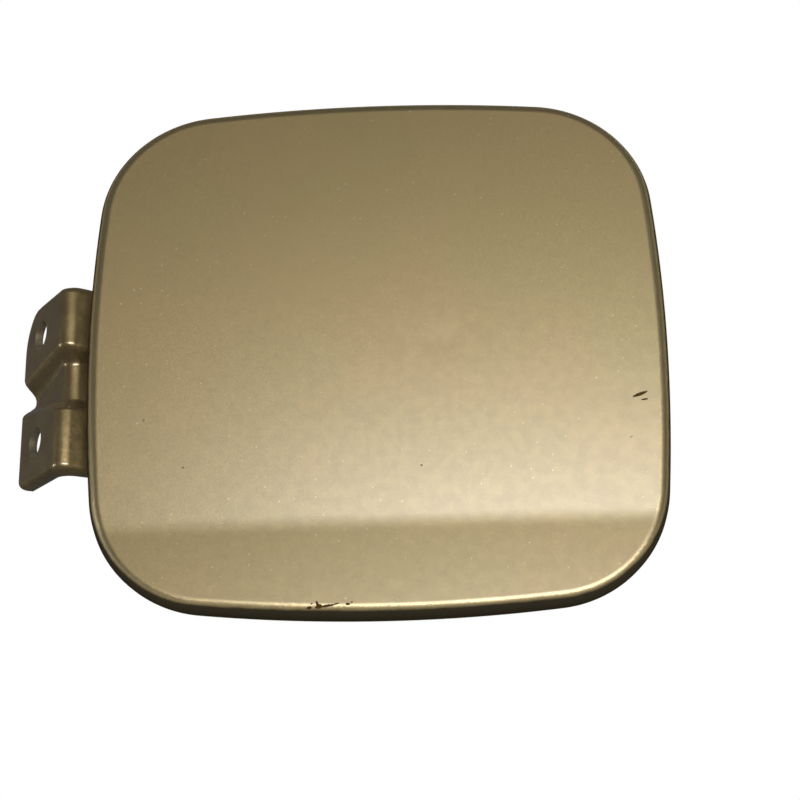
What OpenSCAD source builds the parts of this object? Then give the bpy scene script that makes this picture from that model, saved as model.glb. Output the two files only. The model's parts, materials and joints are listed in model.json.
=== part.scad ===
// Car fuel door with its hinge, standing open.
// The painted face looks along -Y, up is +Z and the hinge pin stands along Z.
// The origin is the middle of the two bolt holes, on the face that the body carries.

/* [Lid outline] */
// Width of the lid over its widest points
lid_w = 152.2; // [140:0.2:170]
// Height of the lid over its highest points
lid_h = 143.4; // [130:0.2:160]
// Radius of the four corners
corner_r = 32; // [26:1:36]
// Bow radius of the edge at the hinge
hinge_side_r = 490; // [400:10:900]
// Bow radius of the free edge
free_side_r = 490; // [400:10:900]
// Bow radius of the upper edge
top_r = 590; // [400:10:900]
// Bow radius of the lower edge
bottom_r = 440; // [400:10:900]
// Height above mid lid at which the free edge stands furthest out
free_side_peak = 11.9; // [0:0.1:16]
// Distance past mid lid at which the upper and lower edges stand furthest out
top_peak = 3.6; // [-6:0.1:10]

/* [Lid skin] */
// Sheet thickness of the outer panel
skin_t = 0.8; // [0.6:0.1:1.2]
// Depth of the lid from its crown to the folded edge
lid_d = 9; // [8:0.5:12]
// Radius of the pressed edge round the face
edge_r = 3.6; // [3:0.1:4.4]
// Radius of the fold at the back of the edge
fold_r = 1.4; // [1.3:0.1:2]
// Width of the strip folded in behind the face
fold_w = 7; // [5:0.5:9]
// Crown radius from top to bottom
crown_v = 700; // [600:50:1500]
// Crown radius from side to side
crown_h = 1500; // [1200:100:3000]
// Height of the crease above the lower edge
crease_up = 22.2; // [18:0.2:32]
// Change of slope at the crease, in degrees
crease_angle = 11; // [2:0.5:12]
// Width over which the crease is rounded
crease_w = 4; // [2:0.5:8]

/* [Inner panel] */
// Sheet thickness of the inner panel
inner_t = 0.7; // [0.5:0.1:1]
// Width of the inner panel's border, which lies on the folded strip
border_w = 9; // [9:0.5:11]
// Width of each pressed slope
slope_w = 4; // [3:0.5:5]
// Height by which the raised frame stands past the folded edge
frame_up = 1; // [0.6:0.1:2]
// Gap between the skin and the corners of the pressed field's floor
field_gap = 0.3; // [0.2:0.05:0.8]
// Width of the pressed field in the middle
field_w = 62; // [50:1:70]
// Height of the pressed field in the middle
field_h = 92; // [70:1:96]
// Distance from mid lid to the middle of the pressed field
field_x = 14; // [10:1:16]
// Corner radius of the pressed field
field_r = 12; // [10:1:20]
// Diameter of the drain holes in the corners of the frame
drain_d = 6; // [4:0.5:8]

/* [Hinge bracket] */
// Sheet thickness of the bracket
bracket_t = 2.2; // [1.4:0.1:2.3]
// Height of the bracket
bracket_h = 52; // [48:0.5:56]
// Distance by which the bracket's middle lies below the bolts' middle
bracket_drop = 0.8; // [0.5:0.1:3]
// Length of the bolted leg from the corner of the bend
bolted_leg = 26.8; // [25:0.1:30]
// Length of the knuckle leg from the corner of the bend to the pin
knuckle_leg = 25; // [24:0.5:30]
// Angle between the knuckle leg and the lid
leg_angle = 36.4; // [34:0.1:40]
// Outer radius of the bend
bend_r = 3.6; // [3.2:0.1:5]
// Distance from the corner of the bend to the bolt holes
bolt_back = 16.15; // [15:0.05:18]
// Distance between the bolt holes
bolt_pitch = 30.5; // [29:0.1:33]
// Diameter of the bolt holes
bolt_hole_d = 8.2; // [6:0.1:8.6]
// Outer radius of the rolled upper and lower edges
lip_r = 2.5; // [2.4:0.1:3]
// Depth of the rolled edges from the front face
lip_d = 3.2; // [3:0.1:3.8]
// Upper corner radius of the bolted leg
upper_corner_r = 13; // [6:0.5:14.5]
// Lower corner radius of the bolted leg
lower_corner_r = 3; // [2:0.5:8]
// Width of the bead at the bend, which it runs across
bead_w = 19; // [17:0.1:20]
// Width of the bead at the free end of the bolted leg
bead_end_w = 10.9; // [10.2:0.1:13]
// Depth of the bead at the bend
bead_d = 3.2; // [1.5:0.1:3.2]
// Depth of the bead at the free end of the bolted leg
bead_end_d = 3.7; // [1.5:0.1:4]
// Height of the bead's upper slope
bead_upper = 5.3; // [4:0.1:5.5]
// Height of the bead's lower slope
bead_lower = 4.5; // [3:0.1:4.6]
// Distance of the bead's lower edge below the bracket's middle, at the bend
bead_drop = 9.4; // [8:0.1:10]
// Distance of the bead's lower edge below the bracket's middle, at the free end
bead_end_drop = 5.2; // [4:0.1:6]

/* [Hinge] */
// Diameter of the hinge pin
pin_d = 5; // [4:0.1:6]
// Running clearance round the pin
pin_clear = 0.05; // [0.03:0.01:0.1]
// Height of each knuckle of the bracket
bracket_knuckle_h = 8.5; // [7:0.5:9]
// Height of each knuckle of the lid's leaf
leaf_knuckle_h = 6.5; // [5:0.5:7]
// Gap between neighbouring knuckles
knuckle_gap = 0.3; // [0.2:0.1:0.5]
// Diameter of the pin's head
pin_head_d = 8; // [7:0.5:9]
// Thickness of the pin's head
pin_head_t = 1.6; // [1:0.1:2.5]
// Sheet thickness of the lid's leaf
leaf_t = 2; // [1.6:0.1:2.4]
// Length of the leaf's pad on the inner panel
pad_l = 36; // [28:1:38]
// Height of the leaf's pad
pad_h = 44; // [36:1:50]
// Gap between the lid's edge and the corner of the bracket's bend
lid_offset = 6.9; // [6:0.1:9]
// Distance from the bend's corner forward to the lid's crown
lid_forward = 5; // [5:0.1:7]
// Height of mid lid above the bolts' middle
lid_rise = 4.3; // [0:0.1:8]

/* [Spring] */
// Wire diameter of the torsion spring
wire_d = 1.5; // [1.2:0.1:1.6]
// Gap between the pin and the spring's turns
coil_clear = 0.35; // [0.3:0.05:0.5]
// Number of turns
coil_turns = 5; // [4:1:6]
// Reach of the spring's ends from the pin
spring_reach = 14; // [12:0.5:16]

/* [Striker and buffers] */
// Sheet thickness of the striker
striker_t = 2; // [1.6:0.1:3]
// Height of the striker
striker_h = 20; // [18:0.5:24]
// Distance by which the striker's tongue stands off the inner panel
striker_out = 17; // [16:0.5:20]
// Distance from the free edge to the striker's tongue
striker_in = 28; // [27:0.5:29]
// Length of the striker's foot
striker_foot = 13; // [12:0.5:14]
// Width of the window that the latch bolt enters
window_w = 10; // [7:0.5:11]
// Length of that window
window_l = 7; // [5:0.5:8]
// Width of metal between the window and the tongue's end
window_rim = 3.5; // [3:0.5:5]
// Diameter of the rubber buffers
buffer_d = 10; // [8:0.5:12]
// Height of the rubber buffers
buffer_h = 6; // [4:0.5:8]
// Height of the buffers' centres above and below mid lid
buffer_z = 42; // [36:1:46]
// Distance from the free edge to the buffers' centres
buffer_in = 25; // [22:0.5:27]

/* [Hidden] */
$fn = 64;
paint = "#9c8f6c";
// A cutter runs this far past what it cuts
past = 1;

// Bracket and pin places; the bracket's own frame has its bend's corner at the origin
corner_pos = -bolt_back * [-sin(leg_angle), cos(leg_angle)];
knuckle_in_r = pin_d / 2 + pin_clear;
knuckle_r = knuckle_in_r + bracket_t;
leaf_knuckle_r = knuckle_in_r + leaf_t;
pin_off = knuckle_in_r;
pin_pos = corner_pos + knuckle_leg * [cos(leg_angle), sin(leg_angle)]
    + pin_off * [sin(leg_angle), -cos(leg_angle)];

// Lid place: its own frame has mid lid at the origin and its crown on the plane y = 0
lid_x = corner_pos.x + lid_offset + lid_w / 2;
lid_y = corner_pos.y - lid_forward;
lid_pos = [lid_x, lid_y, lid_rise];
pin_lid = [pin_pos.x - lid_x, pin_pos.y - lid_y];
frame_y = lid_d + frame_up;
hinge_z = -bracket_drop;
hinge_lid_z = hinge_z - lid_rise;

// Heights of the knuckles, counted from the bracket's middle
ear_out = bracket_h / 2 - lip_r;
ear_in = ear_out - bracket_knuckle_h;
leaf_out = ear_in - knuckle_gap;
leaf_in = leaf_out - leaf_knuckle_h;

// Edges of the lid as [outermost point, arc centre, arc radius], in turn from the free edge
function side_arc(peak, dir, r) = [peak, peak - r * dir, r];
lid_sides = [
    side_arc([lid_w / 2, free_side_peak], [1, 0], free_side_r),
    side_arc([top_peak, lid_h / 2], [0, 1], top_r),
    side_arc([-lid_w / 2, 0], [-1, 0], hinge_side_r),
    side_arc([top_peak, -lid_h / 2], [0, -1], bottom_r)
];

// The pressed field's edges are nearly straight
field_bow = 1500;
field_sides = [
    side_arc([field_x + field_w / 2, 0], [1, 0], field_bow),
    side_arc([field_x, field_h / 2], [0, 1], field_bow),
    side_arc([field_x - field_w / 2, 0], [-1, 0], field_bow),
    side_arc([field_x, -field_h / 2], [0, -1], field_bow)
];

function mix(a, b, t) = a + (b - a) * t;
function heading(v) = atan2(v.y, v.x);
function turn_to(a, b) = b - a < 0 ? b - a + 360 : b - a;
function on_circle(c, r, a) = c + r * [cos(a), sin(a)];
// Where two circles meet, on the left of the line from a to b
function meet(a, ra, b, rb) =
    let (d = norm(b - a), e = (b - a) / d, x = (ra * ra - rb * rb + d * d) / (2 * d))
    a + x * e + sqrt(ra * ra - x * x) * [-e.y, e.x];

// Closed outline of four bowed sides and four corner arcs, drawn inward by inset.
// It has 4 * n points and starts in the middle of the lower corner at the free edge.
function corner_of(sides, i, r) =
    let (a = sides[i], b = sides[(i + 1) % 4])
    meet(a[1], a[2] - r, b[1], b[2] - r);
function arc_points(c, r, from, sweep, parts, skip = 0) =
    [for (k = [skip:parts - 1]) on_circle(c, r, from + sweep * k / parts)];
function side_points(sides, i, r, inset, side_parts, corner_parts) =
    let (
        k0 = corner_of(sides, (i + 3) % 4, r),
        k1 = corner_of(sides, i, r),
        a0 = heading(k0 - sides[i][1]),
        a1 = heading(k1 - sides[i][1]),
        before = heading(k0 - sides[(i + 3) % 4][1]),
        after = heading(k1 - sides[(i + 1) % 4][1]),
        in = turn_to(before, a0),
        out = turn_to(a1, after)
    )
    concat(
        arc_points(k0, r - inset, before + in / 2, in / 2, corner_parts),
        arc_points(sides[i][1], sides[i][2] - inset, a0, turn_to(a0, a1), side_parts),
        arc_points(k1, r - inset, a1, out / 2, corner_parts)
    );
function outline(sides, r, inset, side_parts, corner_parts) =
    [for (i = [0:3]) each side_points(sides, i, r, inset, side_parts, corner_parts)];

// Depth of the crowned face behind the plane y = 0, at x across and z up
crease_z = crease_up - lid_h / 2;
function crease_ramp(z) =
    z > crease_z + crease_w / 2 ? 0
    : z < crease_z - crease_w / 2 ? crease_z - z
    : pow(crease_z + crease_w / 2 - z, 2) / (2 * crease_w);
function face_y(p) =
    p.x * p.x / (2 * crown_h) + p.y * p.y / (2 * crown_v)
    - tan(crease_angle) * crease_ramp(p.y);
function at(p, y) = [p.x, y, p.y];
function on_face(p, drop) = at(p, face_y(p) + drop);

// Faces of a strip between two loops of n points, and of a loft through many loops
function strip(a, b, n) =
    [for (i = [0:n - 1]) let (j = (i + 1) % n) each [[a + i, b + j, b + i], [a + i, a + j, b + j]]];
function loft_faces(loops, n) = [for (k = [0:loops - 2]) each strip(k * n, (k + 1) * n, n)];
// End face of a loft; that of a sheet is split between its front and back points
function end_faces(n, first, sheet) =
    !sheet ? [[for (i = [0:n - 1]) first + i]]
    : [for (i = [0:n / 2 - 2]) let (a = first + i, b = first + n - 1 - i)
        each [[a, a + 1, b], [a + 1, b - 1, b]]];
module loft(loops, sheet = false) {
    n = len(loops[0]);
    last = len(loops) - 1;
    polyhedron(
        points = [for (l = loops) each l],
        faces = concat(
            [for (f = end_faces(n, 0, sheet)) backward(f)],
            loft_faces(last + 1, n),
            end_faces(n, last * n, sheet)
        )
    );
}

// Face grid stretched over a loop of 4 * n points, as rows of inner points
function patch_point(loop, n, i, j) =
    let (a = i / n, b = j / n)
    mix(loop[(3 * n + i) % (4 * n)], loop[2 * n - i], b) + mix(loop[3 * n - j], loop[j], a)
    - mix(mix(loop[3 * n], loop[0], a), mix(loop[2 * n], loop[n], a), b);
function patch(loop, n) =
    [for (j = [1:n - 1]) [for (i = [1:n - 1]) patch_point(loop, n, i, j)]];
// Index of grid point i, j, with the loop's points from ring and the inner ones from grid
function patch_index(i, j, n, ring, grid) =
    i == n ? ring + j
    : j == n ? ring + 2 * n - i
    : i == 0 ? ring + 3 * n - j
    : j == 0 ? ring + 3 * n + i
    : grid + (j - 1) * (n - 1) + i - 1;
function patch_faces(n, ring, grid, front) =
    [for (j = [0:n - 1], i = [0:n - 1])
        let (
            p = patch_index(i, j, n, ring, grid),
            q = patch_index(i + 1, j, n, ring, grid),
            r = patch_index(i + 1, j + 1, n, ring, grid),
            s = patch_index(i, j + 1, n, ring, grid),
            slant = (i < n / 2) == (j < n / 2),
            halves = slant ? [[p, q, r], [p, r, s]] : [[p, q, s], [q, r, s]]
        )
        for (f = halves) front ? [f[0], f[2], f[1]] : f];

// Section of the lid's edge as [inset, drop behind the face, share of the flat back plane].
// It runs from the face over the pressed edge, round the fold, and back inside the sheet.
roll_steps = 5;
fold_steps = 2;
inner_edge_r = edge_r - skin_t;
edge_section = concat(
    [for (k = [0:roll_steps]) let (a = 90 * k / roll_steps)
        [edge_r * (1 - sin(a)), edge_r * (1 - cos(a)), 0]],
    [for (k = [0:fold_steps]) let (a = 90 * k / fold_steps)
        [fold_r * (1 - cos(a)), lid_d - fold_r * (1 - sin(a)), 1]],
    [[fold_w, lid_d, 1], [fold_w, lid_d - skin_t, 1]],
    [for (k = [fold_steps:-1:0]) let (a = 90 * k / fold_steps)
        [fold_r - (fold_r - skin_t) * cos(a), lid_d - fold_r + (fold_r - skin_t) * sin(a), 1]],
    [for (k = [roll_steps:-1:0]) let (a = 90 * k / roll_steps)
        [edge_r - inner_edge_r * sin(a), edge_r - inner_edge_r * cos(a), 0]]
);
skin_side_parts = 12;
skin_corner_parts = 5;
skin_n = skin_side_parts + 2 * skin_corner_parts;

function skin_loop(s) =
    [for (p = outline(lid_sides, corner_r, s[0], skin_side_parts, skin_corner_parts))
        s[2] == 1 ? at(p, s[1]) : on_face(p, s[1])];

module outer_panel() {
    n = 4 * skin_n;
    loops = [for (s = edge_section) skin_loop(s)];
    rim = outline(lid_sides, corner_r, edge_r, skin_side_parts, skin_corner_parts);
    grid = patch(rim, skin_n);
    ring_count = len(loops) * n;
    grid_count = (skin_n - 1) * (skin_n - 1);
    color(paint)
        translate(lid_pos)
            polyhedron(
                points = concat(
                    [for (l = loops) each l],
                    [for (row = grid, p = row) on_face(p, 0)],
                    [for (row = grid, p = row) on_face(p, skin_t)]
                ),
                faces = concat(
                    loft_faces(len(loops), n),
                    patch_faces(skin_n, 0, ring_count, true),
                    patch_faces(skin_n, ring_count - n, ring_count + grid_count, false)
                )
            );
}

// The inner panel is a loft through loops that share one count of points
inner_side_parts = 8;
inner_corner_parts = 4;
// The border ends clear of the fold
border_clear = 0.3;
border_y = lid_d - skin_t;
field_corner = [field_x + field_w / 2 - slope_w, field_h / 2 - slope_w];
field_y = face_y(field_corner) + skin_t + field_gap + inner_t;
slope_steps = 4;
function ease(t) = (1 - cos(180 * t)) / 2;
function lid_loop(inset, y) =
    [for (p = outline(lid_sides, corner_r, inset, inner_side_parts, inner_corner_parts)) at(p, y)];
function field_loop(inset, y) =
    [for (p = outline(field_sides, field_r, inset, inner_side_parts, inner_corner_parts)) at(p, y)];
// Loops of one face of the sheet, set forward by lift from the back face
function inner_loops(lift) = concat(
    [lid_loop(fold_r + border_clear, border_y - lift)],
    [for (k = [0:slope_steps]) let (t = k / slope_steps)
        lid_loop(border_w + slope_w * t, mix(border_y, frame_y, ease(t)) - lift)],
    [for (k = [0:slope_steps]) let (t = k / slope_steps)
        field_loop(slope_w * t, mix(frame_y, field_y, ease(t)) - lift)]
);
function backward(list) = [for (i = [len(list) - 1:-1:0]) list[i]];

// Places of the drain holes and buffers on the raised frame
drain_in = border_w + slope_w + drain_d;
drain_spots = [
    for (i = [0:3])
        let (k = corner_of(lid_sides, i, corner_r))
        k + (corner_r - drain_in) * (k / norm(k))
];
buffer_x = lid_w / 2 - buffer_in;
stem_d = buffer_d * 0.5;

module inner_panel() {
    color(paint)
        translate(lid_pos)
            difference() {
                loft(concat(backward(inner_loops(inner_t)), inner_loops(0)));
                for (p = drain_spots)
                    translate([p.x, 0, p.y]) rotate([-90, 0, 0]) cylinder(d = drain_d, h = 2 * frame_y);
                for (s = [-1, 1])
                    translate([buffer_x, 0, s * buffer_z]) rotate([-90, 0, 0])
                        cylinder(d = stem_d, h = 2 * frame_y);
            }
}

// Bends of the leaf and the striker have this inner radius
sheet_bend = 1;
weld_d = 5;
weld_dent = 0.3;

// A plate in the plane of the lid, from y outward, drawn by 2D children in x and z
module lid_plate(y, t) {
    translate([0, y + t, 0]) rotate([90, 0, 0]) linear_extrude(t) children();
}
module weld_spot(x, z, t) {
    translate([x, frame_y + t, z]) rotate([90, 0, 0]) cylinder(d = weld_d, h = 2 * weld_dent, center = true);
}
// Profile of a sheet that lies on the frame, bends down, and runs on to depth end_y.
// Its wall's near face is at x = 0 and its foot is long enough to overlap the plate it belongs to.
stub_l = 3;
module foot_profile(t, end_y) {
    mid = [t + sheet_bend, frame_y + t + sheet_bend];
    difference() {
        translate([0, frame_y]) square([mid.x + stub_l, end_y - frame_y]);
        translate([t, frame_y + t]) square([mid.x + stub_l, end_y]);
        translate([-past, frame_y - past]) square([mid.x + past, t + sheet_bend + past]);
    }
    intersection() {
        difference() {
            translate(mid) circle(r = t + sheet_bend);
            translate(mid) circle(r = sheet_bend);
        }
        translate([0, frame_y]) square(mid - [0, frame_y]);
    }
}
// Profile of a sheet rolled round the pin; the sheet comes from -y on the pin's +x side
roll_gap = 70;
module rolled_profile(t, tail) {
    r = knuckle_in_r + t;
    difference() {
        circle(r = r);
        circle(r = knuckle_in_r);
        polygon([[0, 0], [3 * r, 0], [3 * r, -3 * r], 3 * r * [cos(roll_gap), -sin(roll_gap)]]);
    }
    translate([knuckle_in_r, -tail]) square([t, tail]);
}
module both_sides() {
    children();
    mirror([0, 0, 1]) children();
}

leaf_wall_x = pin_lid.x + knuckle_in_r;
leaf_bend_x = leaf_wall_x + leaf_t + sheet_bend;
pad_corner_r = 6;
pad_taper = 12;

module pad_outline() {
    far = leaf_bend_x + pad_l;
    polygon([
        [leaf_bend_x, -leaf_out], [leaf_bend_x + pad_taper, -pad_h / 2],
        [far - pad_corner_r, -pad_h / 2], [far, pad_corner_r - pad_h / 2],
        [far, pad_h / 2 - pad_corner_r], [far - pad_corner_r, pad_h / 2],
        [leaf_bend_x + pad_taper, pad_h / 2], [leaf_bend_x, leaf_out]
    ]);
    for (s = [-1, 1])
        translate([far - pad_corner_r, s * (pad_h / 2 - pad_corner_r)]) circle(r = pad_corner_r);
}

module hinge_leaf() {
    weld_x = leaf_bend_x + pad_l / 2;
    color(paint)
        translate(lid_pos + [0, 0, hinge_lid_z]) {
            difference() {
                lid_plate(frame_y, leaf_t) pad_outline();
                for (i = [-1, 1], j = [-1, 1]) weld_spot(weld_x + i * pad_l / 4, j * pad_h / 4, leaf_t);
            }
            both_sides()
                translate([0, 0, leaf_in])
                    linear_extrude(leaf_knuckle_h) {
                        translate([leaf_wall_x, 0]) foot_profile(leaf_t, pin_lid.y - knuckle_r / 2);
                        translate(pin_lid) rolled_profile(leaf_t, knuckle_r);
                    }
        }
}

striker_x = lid_w / 2 - striker_in;
tongue_r = 3;

// The tongue stands along y; its end and window are drawn in z and y
module tongue_cuts() {
    end_y = frame_y + striker_out;
    difference() {
        translate([-striker_h, end_y - tongue_r]) square([2 * striker_h, tongue_r + past]);
        translate([tongue_r - striker_h / 2, end_y - 2 * tongue_r])
            square([striker_h - 2 * tongue_r, 2 * tongue_r]);
        for (s = [-1, 1])
            translate([s * (striker_h / 2 - tongue_r), end_y - tongue_r]) circle(r = tongue_r);
    }
    translate([-window_w / 2, end_y - window_rim - window_l]) square([window_w, window_l]);
}

module latch_striker() {
    foot_x = striker_x + striker_t + sheet_bend;
    color("silver")
        translate(lid_pos) {
            difference() {
                lid_plate(frame_y, striker_t)
                    translate([foot_x, -striker_h / 2]) square([striker_foot, striker_h]);
                for (j = [-1, 1]) weld_spot(foot_x + striker_foot / 2, j * striker_h / 4, striker_t);
            }
            difference() {
                translate([striker_x, 0, -striker_h / 2])
                    linear_extrude(striker_h) foot_profile(striker_t, frame_y + striker_out);
                translate([striker_x - past, 0, 0])
                    rotate([0, 90, 0])
                        linear_extrude(striker_t + 2 * past) tongue_cuts();
            }
        }
}

// Rubber buffer, turned round its stem: a tapered body, a neck in the panel and a collar behind it
collar_t = 1;
module buffer() {
    top_r = buffer_d * 0.4;
    neck_r = stem_d / 2 - 0.05;
    collar_r = buffer_d * 0.36;
    dish_r = buffer_d * 0.2;
    color("#26241f")
        rotate([-90, 0, 0])
            rotate_extrude()
                polygon([
                    [0, -inner_t - collar_t], [collar_r * 0.7, -inner_t - collar_t],
                    [collar_r, -inner_t - collar_t * 0.4], [collar_r, -inner_t],
                    [neck_r, -inner_t], [neck_r, 0], [buffer_d / 2, 0], [buffer_d / 2, 1],
                    [top_r, buffer_h - 0.8], [top_r - 0.8, buffer_h], [dish_r, buffer_h],
                    [dish_r * 0.6, buffer_h - 1], [0, buffer_h - 1]
                ]);
}
module upper_buffer() {
    translate(lid_pos + [buffer_x, frame_y, buffer_z]) buffer();
}
module lower_buffer() {
    translate(lid_pos + [buffer_x, frame_y, -buffer_z]) buffer();
}

// Section of the bracket's sheet as [depth behind the front face, height], front face first.
// Its bead widens and gets shallower by the share t from the free end to the bend.
bead_steps = 5;
lip_steps = 4;
function slope_points(z0, z1, d0, d1) =
    [for (k = [0:bead_steps]) let (t = k / bead_steps) [mix(d0, d1, ease(t)), mix(z0, z1, t)]];
function lip_arc(side, r) =
    [for (k = [0:lip_steps]) let (a = 90 * (side > 0 ? 1 - k / lip_steps : k / lip_steps))
        [lip_r - r * sin(a), side * (bracket_h / 2 - lip_r + r * cos(a))]];
function sheet_side(t, r, back) =
    let (
        deep = mix(bead_end_d, bead_d, t),
        low = -mix(bead_end_drop, bead_drop, t),
        high = low + mix(bead_end_w, bead_w, t)
    )
    concat(
        [[lip_d, -(bracket_h / 2 - lip_r + r)]],
        lip_arc(-1, r),
        slope_points(low, low + bead_lower, back, back + deep),
        slope_points(high - bead_upper, high, back + deep, back),
        lip_arc(1, r),
        [[lip_d, bracket_h / 2 - lip_r + r]]
    );
function sheet_section(t) =
    concat(sheet_side(t, lip_r, 0), backward(sheet_side(t, lip_r - bracket_t, bracket_t)));

// The sheet runs down the bolted leg, round the bend, along the knuckle leg and round the pin.
// At every height it keeps its thickness and one radius round the bend.
bend_steps = 8;
roll_parts = 18;
roll_sweep = 270;
leg_parts = 3;
function leg_loop(t) = [for (p = sheet_section(t)) [p.x, mix(bolted_leg, bend_r, t), p.y]];
function bend_side(side, r, a) =
    [for (p = side) [p.x + r * (1 - cos(a)), p.x + r * (1 - sin(a)), p.y]];
function bend_loop(a) =
    concat(
        bend_side(sheet_side(1, lip_r, 0), bend_r, a),
        backward(bend_side(sheet_side(1, lip_r - bracket_t, bracket_t), bend_r - bracket_t, a))
    );
function roll_loop(a) =
    [for (p = sheet_section(1)) let (r = knuckle_in_r + p.x)
        [knuckle_leg + r * cos(a), r * sin(a) - pin_off, p.y]];
sheet_loops = concat(
    [for (k = [0:leg_parts - 1]) leg_loop(k / leg_parts)],
    [for (k = [0:bend_steps]) bend_loop(90 * k / bend_steps)],
    [for (k = [0:roll_parts]) roll_loop(90 - roll_sweep * k / roll_parts)]
);

// The sheet of the knuckle leg ends here, clear of what turns on the pin
knuckle_margin = 1;
knuckle_start = knuckle_leg - max(knuckle_r, leaf_knuckle_r) - knuckle_margin;

// The space round the pin that the sheet leaves free, from z over the height h
module roll_space(z, h) {
    wide = knuckle_leg + bracket_h;
    near = knuckle_start - lip_d - bead_d - bracket_t;
    translate([0, 0, z])
        linear_extrude(h)
            polygon([
                [knuckle_start, wide], [knuckle_start, -pin_off / 2], [near, -pin_off / 2],
                [near, -wide], [wide, -wide], [wide, wide]
            ]);
}

// The space outside a rounded corner of radius r, at the upper or lower end of the bolted leg
module corner_cut(r, dir) {
    z = dir * bracket_h / 2;
    translate([-past, 0, 0])
        rotate([90, 0, 90])
            linear_extrude(lip_d + bead_end_d + bracket_t + 2 * past)
                difference() {
                    translate([bolted_leg - r, dir > 0 ? z - r : z - past])
                        square([r + past, r + past]);
                    translate([bolted_leg - r, z - dir * r]) circle(r = r);
                }
}

module hinge_bracket() {
    color("#5a4a36")
        translate([corner_pos.x, corner_pos.y, hinge_z])
            rotate([0, 0, leg_angle])
                difference() {
                    loft(sheet_loops, true);
                    roll_space(-ear_in, 2 * ear_in);
                    roll_space(ear_out, lip_r + past);
                    roll_space(-ear_out - lip_r - past, lip_r + past);
                    corner_cut(upper_corner_r, 1);
                    corner_cut(lower_corner_r, -1);
                    for (s = [-1, 1])
                        translate([-past, bolt_back, bracket_drop + s * bolt_pitch / 2])
                            rotate([0, 90, 0]) cylinder(d = bolt_hole_d, h = bracket_t + 2 * past);
                }
}

module hinge_pin() {
    tail_d = pin_d * 1.24;
    tail_t = 1;
    dome = pin_head_t * 0.4;
    color("#6f6a60")
        translate([pin_pos.x, pin_pos.y, hinge_z])
            rotate_extrude()
                polygon([
                    [0, -ear_out - tail_t], [tail_d / 2 - tail_t / 2, -ear_out - tail_t],
                    [tail_d / 2, -ear_out - tail_t / 2], [tail_d / 2, -ear_out],
                    [pin_d / 2, -ear_out], [pin_d / 2, ear_out], [pin_head_d / 2, ear_out],
                    [pin_head_d / 2, ear_out + pin_head_t - dome],
                    [pin_head_d / 2 - dome, ear_out + pin_head_t], [0, ear_out + pin_head_t]
                ]);
}

// Torsion spring: its turns climb round the pin from the bracket's end to the lid's end
coil_r = pin_d / 2 + coil_clear + wire_d / 2;
coil_gap = 0.6;
coil_z = leaf_in - coil_gap - wire_d / 2;
coil_steps = 20;
wire_sides = 8;
wire_seat = 0.05;
lid_end_a = 90;
bracket_end_a = leg_angle + 90;
coil_sweep = 360 * coil_turns + bracket_end_a - lid_end_a;
pad_seat = frame_y + leaf_t + wire_d / 2 + wire_seat - pin_lid.y;
// The bracket's end lies on the back of the knuckle leg, on the bead's lower slope
slope_share = min(max((bead_drop - coil_z) / bead_lower, 0), 1);
leg_seat = pin_off + bracket_t + bead_d * ease(slope_share) + wire_d * 0.65 + wire_seat;
function along_leg(back, depth) =
    back * [-cos(leg_angle), -sin(leg_angle)] + depth * [-sin(leg_angle), cos(leg_angle)];
lid_end = [
    [spring_reach, pad_seat], [spring_reach * 0.86, pad_seat * 0.97],
    [spring_reach * 0.74, pad_seat * 0.7], [coil_r * 1.6, coil_r * 0.35],
    [coil_r * 1.1, coil_r * 0.8], [coil_r * 0.6, coil_r * 0.97]
];
bracket_end = [
    along_leg(coil_r * 0.6, coil_r * 1.05), along_leg(coil_r, mix(coil_r, leg_seat, 0.6)),
    along_leg(coil_r * 1.4, leg_seat), along_leg(spring_reach, leg_seat)
];
coil_count = round(coil_turns * coil_steps);
wire_path = concat(
    [for (p = lid_end) [p.x, p.y, coil_z]],
    [for (k = [0:coil_count]) let (t = k / coil_count)
        [each on_circle([0, 0], coil_r, lid_end_a + coil_sweep * t), mix(coil_z, -coil_z, t)]],
    [for (p = bracket_end) [p.x, p.y, -coil_z]]
);
function unit(v) = v / norm(v);
function wire_loop(path, i) =
    let (
        last = len(path) - 1,
        along = unit(path[min(i + 1, last)] - path[max(i - 1, 0)]),
        side = unit(cross(along, [0, 0, 1])),
        up = cross(side, along)
    )
    [for (k = [0:wire_sides - 1]) let (a = 360 * k / wire_sides)
        path[i] + wire_d / 2 * (cos(a) * side + sin(a) * up)];

module hinge_spring() {
    color("#7d786c")
        translate([pin_pos.x, pin_pos.y, hinge_z])
            loft([for (i = [0:len(wire_path) - 1]) wire_loop(wire_path, i)]);
}

outer_panel();
inner_panel();
hinge_leaf();
latch_striker();
upper_buffer();
lower_buffer();
hinge_bracket();
hinge_pin();
hinge_spring();
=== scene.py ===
import json
import math

import bpy
import numpy as np
from mathutils import Euler, Matrix, Vector


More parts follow.
